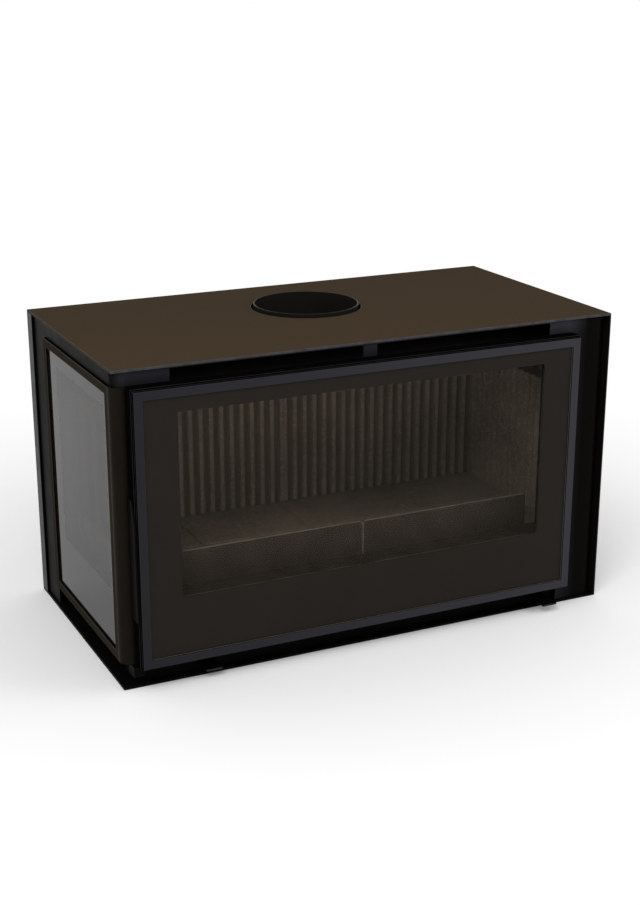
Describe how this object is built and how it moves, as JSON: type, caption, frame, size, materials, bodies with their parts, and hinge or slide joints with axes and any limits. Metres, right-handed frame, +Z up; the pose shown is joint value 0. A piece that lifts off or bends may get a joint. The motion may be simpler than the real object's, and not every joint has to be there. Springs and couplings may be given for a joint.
{
  "type": "corner wood stove",
  "caption": "Built-in corner wood stove with a glazed front door, a fixed glazed left side, a lined firebox, air levers and a flue collar in a sheet-steel convection casing.",
  "frame": {"origin": "centre of the casing's underside, which is the face it stands on", "axes": "+X to the right along the door, +Y towards the back, +Z up"},
  "size_m": [0.9, 0.529, 0.531],
  "materials": {
    "black_plate": "satin black heat-proof paint on plate",
    "black_sheet": "satin black heat-proof paint on sheet",
    "frame_paint": "satin black heat-proof paint, smooth",
    "handle_paint": "satin black paint",
    "firebox_steel": "matt black heat-proof paint",
    "fence_steel": "matt grey-black heat-proof paint",
    "lever_steel": "satin black paint, edges rubbed bright",
    "bright_steel": "plain steel",
    "ceramic_glass": "clear ceramic glass with a printed black border",
    "refractory": "matt refractory, darkened by smoke",
    "glass_fibre": "knitted grey glass-fibre"
  },
  "bodies": {
    "casing": {"bottom_plate": "black_plate", "top_plate": "black_plate", "back_panel": "black_sheet", "right_side_panel": "black_sheet", "convection_jacket": "black_sheet", "corner_post": "black_sheet", "door_rest": "black_plate", "firebox_shell": "firebox_steel", "flue_collar": "firebox_steel", "collar_bolts": "bright_steel", "back_lining_left": "refractory", "back_lining_right": "refractory", "right_lining": "refractory", "left_jamb_lining": "refractory", "hearth_bricks": "refractory", "baffle_plate": "refractory", "baffle_hangers": "firebox_steel", "sill_channel": "firebox_steel", "log_fence_left": "fence_steel", "log_fence_right": "fence_steel", "side_log_fence": "fence_steel", "air_wash_channel": "firebox_steel", "air_riser": "firebox_steel", "plinth_frame": "black_sheet", "air_spigot": "black_sheet", "primary_air_duct": "firebox_steel", "secondary_air_duct": "firebox_steel", "lever_rails": "firebox_steel", "side_frame": "frame_paint", "side_glass": "ceramic_glass", "side_glass_seal": "glass_fibre", "hinge_arms": "firebox_steel", "latch_keeper": "bright_steel"},
    "door": {"door_frame": "frame_paint", "door_glass": "ceramic_glass", "door_glass_tape": "glass_fibre", "door_rope_seal": "glass_fibre", "glass_clips": "bright_steel", "clip_screws": "bright_steel", "hinge_blocks": "firebox_steel", "hinge_pins": "bright_steel", "latch_bearing": "bright_steel"},
    "handle": {"handle_blade": "handle_paint", "handle_axle": "bright_steel", "latch_tongue": "bright_steel"},
    "primary_lever": {"primary_air_lever": "lever_steel"},
    "secondary_lever": {"secondary_air_lever": "lever_steel"}
  },
  "joints": [
    {"name": "door_hinge", "type": "hinge", "parent": "casing", "child": "door", "pos_m": [0.362, -0.242, 0.269], "axis": [0, 0, 1], "range_deg": [0, 100]},
    {"name": "handle_pivot", "type": "hinge", "parent": "door", "child": "handle", "pos_m": [-0.422, -0.239, 0.315], "axis": [-1, 0, 0], "range_deg": [0, 40]},
    {"name": "primary_air_slide", "type": "slide", "parent": "casing", "child": "primary_lever", "axis": [0, -1, 0], "range_m": [-0.01, 0.023]},
    {"name": "secondary_air_slide", "type": "slide", "parent": "casing", "child": "secondary_lever", "axis": [0, -1, 0], "range_m": [-0.024, 0.009]}
  ]
}
